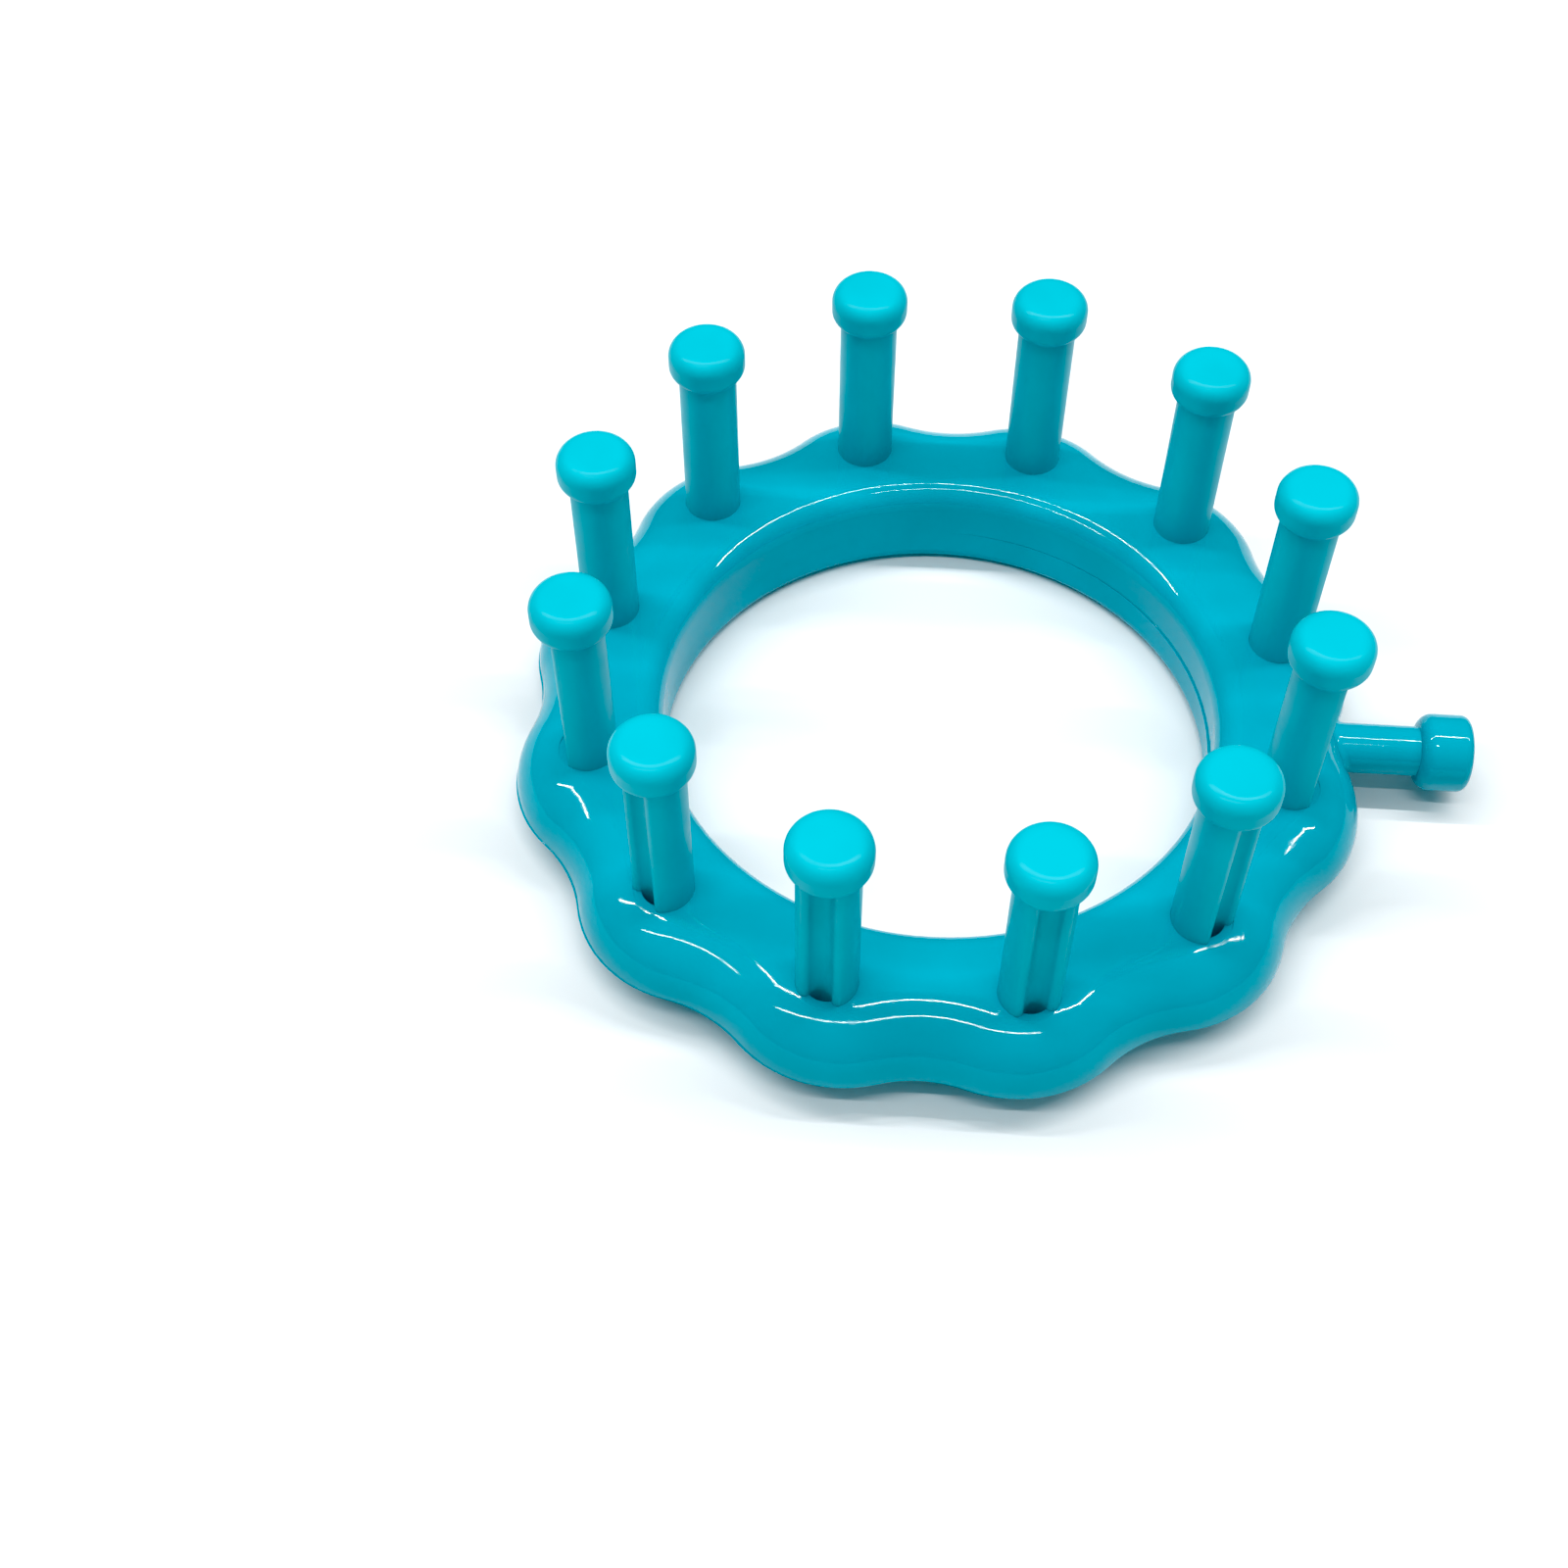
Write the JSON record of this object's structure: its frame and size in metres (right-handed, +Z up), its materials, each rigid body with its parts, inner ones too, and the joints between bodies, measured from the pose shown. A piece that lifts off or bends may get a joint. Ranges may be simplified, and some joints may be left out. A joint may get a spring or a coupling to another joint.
{
  "type": "knitting loom",
  "caption": "Round knitting loom: a hollow scalloped ring with upright grooved pegs round a central opening, and a plain peg on its side for the yarn's end.",
  "frame": {"origin": "centre of the ring's opening, on the plane of the flat underside that the loom rests on", "axes": "+Z up along the pegs, +X from the ring's centre out along the side peg"},
  "size_m": [0.1307, 0.1148, 0.0448],
  "materials": {
    "ring_plastic": "glossy moulded turquoise",
    "peg_plastic": "glossy moulded turquoise",
    "side_peg_plastic": "glossy moulded turquoise"
  },
  "bodies": {
    "root": {"ring_upper_half": "ring_plastic", "ring_lower_half": "ring_plastic", "side_peg": "side_peg_plastic", "peg_01": "peg_plastic", "peg_02": "peg_plastic", "peg_03": "peg_plastic", "peg_04": "peg_plastic", "peg_05": "peg_plastic", "peg_06": "peg_plastic", "peg_07": "peg_plastic", "peg_08": "peg_plastic", "peg_09": "peg_plastic", "peg_10": "peg_plastic", "peg_11": "peg_plastic", "peg_12": "peg_plastic"}
  },
  "joints": []
}
